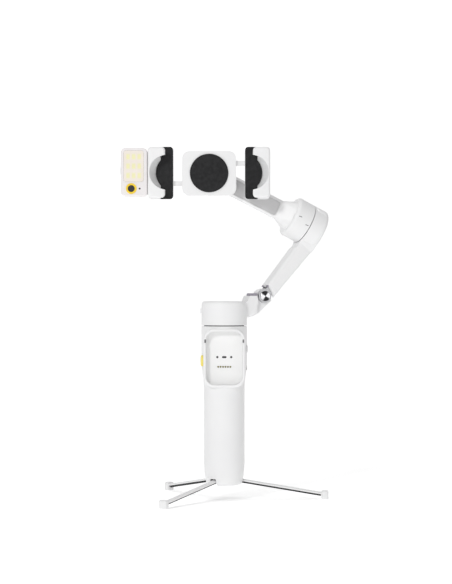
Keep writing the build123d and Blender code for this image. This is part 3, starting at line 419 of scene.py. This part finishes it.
def light_panel(name):
    """Milky cover of the fill light, with the lamps showing through as pale yellow cells."""
    material, tree, shader = new_material(name)
    centre = middle(*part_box("tracker_light"))
    split = tree.nodes.new("ShaderNodeSeparateXYZ")
    tree.links.new(object_coordinates(tree), split.inputs["Vector"])
    columns = lattice_mask(tree, split.outputs["X"], centre.x, LED_PITCH_X, LED_HALF_X, LED_COUNT)
    rows = lattice_mask(tree, split.outputs["Z"], centre.z, LED_PITCH_Z, LED_HALF_Z, LED_COUNT)
    lamps = math_node(tree, "MULTIPLY", columns, rows)
    mix = tree.nodes.new("ShaderNodeMix")
    mix.data_type = "RGBA"
    tree.links.new(math_node(tree, "MULTIPLY", lamps, LED_SHARE), mix.inputs["Factor"])
    # Sockets 6 and 7 are the colour mix's A and B, and output 2 is its result.
    cream = blend_colours(tree, noise(tree, CREAM_SCALE, 3.0), CREAM_DARK, CREAM_LIGHT)
    tree.links.new(cream, mix.inputs[6])
    mix.inputs[7].default_value = LED_COLOUR
    tree.links.new(mix.outputs[2], shader.inputs["Base Color"])
    gloss = noise(tree, DIFFUSER_GLOSS_SCALE, 2.0)
    tree.links.new(vary(tree, gloss, 0.2, 0.28), shader.inputs["Roughness"])
    bump(tree, shader, [(noise(tree, DIFFUSER_GRAIN, 2.0), 1.0)], DIFFUSER_DEPTH, SOFT_RELIEF)
    shader.inputs["Coat Weight"].default_value = DIFFUSER_COAT
    return material


def paper():
    """The backdrop's white paper, which glows a little so that it stays white behind the object."""
    material, tree, shader = new_material("white paper")
    tone = blend_colours(tree, noise(tree, PAPER_SCALE), PAPER_DARK, PAPER_LIGHT)
    tree.links.new(tone, shader.inputs["Base Color"])
    shader.inputs["Roughness"].default_value = PAPER_ROUGHNESS
    shader.inputs["Specular IOR Level"].default_value = PAPER_SPECULAR
    shader.inputs["Emission Color"].default_value = (1, 1, 1, 1)
    shader.inputs["Emission Strength"].default_value = PAPER_GLOW
    return material


def make_materials():
    """Every finish by its name."""
    made = {}
    for maker, table in ((moulded_plastic, PLASTICS), (rubber, RUBBERS), (metal, METALS)):
        for finish, values in table.items():
            made[finish] = maker(*values)
    made["light"] = light_panel("light diffuser")
    made["spun"] = hinge_metal()
    return made


def dress(obj, material):
    obj.data.materials.clear()
    obj.data.materials.append(material)


def dress_nodes(made):
    for finish, names in FINISHES.items():
        for name in names:
            dress(nodes[name], made[finish])


# ---------------------------------------------------------------- fine pieces
def link(name, data):
    """A new object in the scene, its mesh shaded smooth."""
    for face in data.polygons:
        face.use_smooth = True
    obj = bpy.data.objects.new(name, data)
    bpy.context.collection.objects.link(obj)
    return obj


def mesh_piece(name, verts, faces, material, body):
    """A smooth-shaded mesh that rides on a body."""
    data = bpy.data.meshes.new(name)
    data.from_pydata(verts, [], faces)
    data.validate()
    piece = link(name, data)
    dress(piece, material)
    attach(piece, body)
    return piece


def swept_tube(centres, normals, binormals, radius, sides):
    """Vertices and faces of a closed tube around a line of centres."""
    verts, faces = [], []
    for centre, normal, binormal in zip(centres, normals, binormals):
        for k in range(sides):
            angle = 2 * math.pi * k / sides
            verts.append(centre + radius * (math.cos(angle) * normal + math.sin(angle) * binormal))
    last = len(centres) - 1
    for i in range(last):
        for k in range(sides):
            a, b = i * sides + k, i * sides + (k + 1) % sides
            faces.append((a, b, b + sides, a + sides))
    faces.append(tuple(reversed(range(sides))))
    faces.append(tuple(last * sides + k for k in range(sides)))
    return verts, faces


def make_spring(node, material):
    """A return spring wound along X, a fixed coil that rides on the clamp."""
    low, high = (Vector(corner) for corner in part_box(node))
    core = middle(low, high)
    radius = (high.z - low.z) / 2 - SPRING_WIRE
    span = high.x - low.x - 2 * SPRING_WIRE
    steps = SPRING_TURNS * SPRING_STEPS
    centres, normals, binormals = [], [], []
    for i in range(steps + 1):
        angle = 2 * math.pi * i / SPRING_STEPS
        outward = Vector((0, math.cos(angle), math.sin(angle)))
        centres.append(Vector((low.x + SPRING_WIRE + span * i / steps, core.y, core.z)) + radius * outward)
        normals.append(outward)
        binormals.append(Vector((1, 0, 0)))
    verts, faces = swept_tube(centres, normals, binormals, SPRING_WIRE, SPRING_SIDES)
    piece = mesh_piece(node + "_coil", verts, faces, material, "clamp")
    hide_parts(node)
    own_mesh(piece)


def make_sensor(material):
    """The small dark window of the tracker's second sensor, a shallow dome in its seat."""
    low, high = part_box("tracker_lens_ring")
    centre = Vector(((low[0] + high[0]) / 2 + SENSOR_OFFSET, 0, (low[2] + high[2]) / 2))
    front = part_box("tracker_housing")[0][1]
    verts = [Vector((centre.x, front + SENSOR_DEPTH - SENSOR_CROWN, centre.z))]
    for share, rise in SENSOR_RINGS:
        offset = SENSOR_RADIUS * share
        y = front + SENSOR_DEPTH - SENSOR_CROWN * rise
        for k in range(SENSOR_SIDES):
            angle = 2 * math.pi * k / SENSOR_SIDES
            x = centre.x + offset * math.cos(angle)
            verts.append(Vector((x, y, centre.z + offset * math.sin(angle))))
    faces = [(0, 1 + k, 1 + (k + 1) % SENSOR_SIDES) for k in range(SENSOR_SIDES)]
    last = 1 + (len(SENSOR_RINGS) - 1) * SENSOR_SIDES
    for base in range(1, last, SENSOR_SIDES):
        for k in range(SENSOR_SIDES):
            a, b = base + k, base + (k + 1) % SENSOR_SIDES
            faces.append((a, a + SENSOR_SIDES, b + SENSOR_SIDES, b))
    faces.append(tuple(last + k for k in range(SENSOR_SIDES)))
    mesh_piece("tracker_sensor_window", verts, faces, material, "tracker")


def elbow_drum():
    """Centre, axis, front and up of the elbow's turning half."""
    joint = next(j for j in frame["joints"] if j["name"] == "tilt")
    axis = Vector(joint["axis"]).normalized()
    toward = Vector((0, -1, 0))
    front = (toward - axis * toward.dot(axis)).normalized()
    up = axis.cross(front).normalized()
    if up.z < 0:
        up = -up
    return Vector(joint["pos_m"]), axis, front, up


def mark_section(drum, place, t):
    """The four corners of an inlay at a distance t along it, wrapped on the drum."""
    centre, axis, front, up = drum
    along, lift, turn = place
    corners = []
    for depth, side in ((-MARK_SINK, -1), (MARK_PROUD, -1), (MARK_PROUD, 1), (-MARK_SINK, 1)):
        across = side * MARK_WIDTH / 2
        step_along = along + t * math.sin(turn) + across * math.cos(turn)
        angle = lift + (t * math.cos(turn) - across * math.sin(turn)) / ELBOW_RADIUS
        outward = math.cos(angle) * front + math.sin(angle) * up
        corners.append(centre + axis * step_along + (ELBOW_RADIUS + depth) * outward)
    return corners


def make_elbow_marks(material):
    """Two short inlays on the turning half of the elbow, wrapped on its drum."""
    drum = elbow_drum()
    for i, place in enumerate(ELBOW_MARKS, start=1):
        verts, faces = [], []
        for k in range(MARK_STEPS + 1):
            verts += mark_section(drum, place, (k / MARK_STEPS - 0.5) * MARK_LENGTH)
        for k in range(MARK_STEPS):
            for c in range(4):
                a, b = 4 * k + c, 4 * k + (c + 1) % 4
                faces.append((a, b, b + 4, a + 4))
        faces.append((3, 2, 1, 0))
        faces.append(tuple(4 * MARK_STEPS + c for c in range(4)))
        mesh_piece(f"elbow_mark_{i}", verts, faces, material, "tilt_arm")


def make_fine_pieces(made):
    make_spring("clamp_spring_right", made["steel"])
    make_spring("clamp_spring_left", made["steel"])
    make_sensor(made["lens"])
    make_elbow_marks(made["mark"])


# ---------------------------------------------------------------- studio
def make_backdrop():
    """A white floor that curves up into a wall."""
    start = BACKDROP_Y - BACKDROP_RADIUS
    rows = [(-FLOOR_HALF, 0.0), (start, 0.0)]
    for i in range(1, BACKDROP_STEPS + 1):
        angle = math.pi / 2 * i / BACKDROP_STEPS
        y = start + BACKDROP_RADIUS * math.sin(angle)
        rows.append((y, BACKDROP_RADIUS - BACKDROP_RADIUS * math.cos(angle)))
    rows.append((BACKDROP_Y, FLOOR_HALF))
    mesh = bmesh.new()
    pairs = []
    for y, z in rows:
        pairs.append([mesh.verts.new((x, y, z - FLOOR_DROP)) for x in (-FLOOR_HALF, FLOOR_HALF)])
    for a, b in zip(pairs, pairs[1:]):
        mesh.faces.new((a[0], a[1], b[1], b[0]))
    data = bpy.data.meshes.new("backdrop")
    mesh.to_mesh(data)
    mesh.free()
    backdrop = link("backdrop", data)
    dress(backdrop, paper())


def area_light(name, place, size, power):
    """A rectangular light aimed at the middle of the object."""
    data = bpy.data.lights.new(name, "AREA")
    data.shape = "RECTANGLE"
    data.size, data.size_y = size
    data.energy = power
    light = bpy.data.objects.new(name, data)
    light.location = place
    direction = Vector(LIGHT_TARGET) - Vector(place)
    light.rotation_euler = direction.to_track_quat("-Z", "Y").to_euler()
    bpy.context.collection.objects.link(light)


def make_world():
    """Soft light from all round, and plain white where the world is seen directly."""
    world = bpy.data.worlds.new("studio")
    world.use_nodes = True
    tree = world.node_tree
    background = tree.nodes["Background"]
    seen = tree.nodes.new("ShaderNodeLightPath").outputs["Is Camera Ray"]
    strength = math_node(tree, "MULTIPLY_ADD", seen, 1.0 - WORLD_STRENGTH, WORLD_STRENGTH)
    tree.links.new(strength, background.inputs["Strength"])
    background.inputs["Color"].default_value = (1, 1, 1, 1)
    bpy.context.scene.world = world


def make_studio():
    make_backdrop()
    make_world()
    for values in LIGHTS:
        area_light(*values)
    bpy.context.scene.view_settings.view_transform = "Standard"


def make_camera():
    data = bpy.data.cameras.new("camera")
    data.lens = LENS
    data.clip_start = NEAR_CLIP
    camera = bpy.data.objects.new("camera", data)
    camera.location = (CAMERA_X, -CAMERA_DISTANCE, CAMERA_HEIGHT)
    camera.rotation_euler = (math.pi / 2, 0, 0)
    bpy.context.collection.objects.link(camera)
    bpy.context.scene.camera = camera


# ---------------------------------------------------------------- build
materials = make_materials()
dress_nodes(materials)
make_fine_pieces(materials)
make_studio()
make_camera()

bpy.context.view_layer.update()
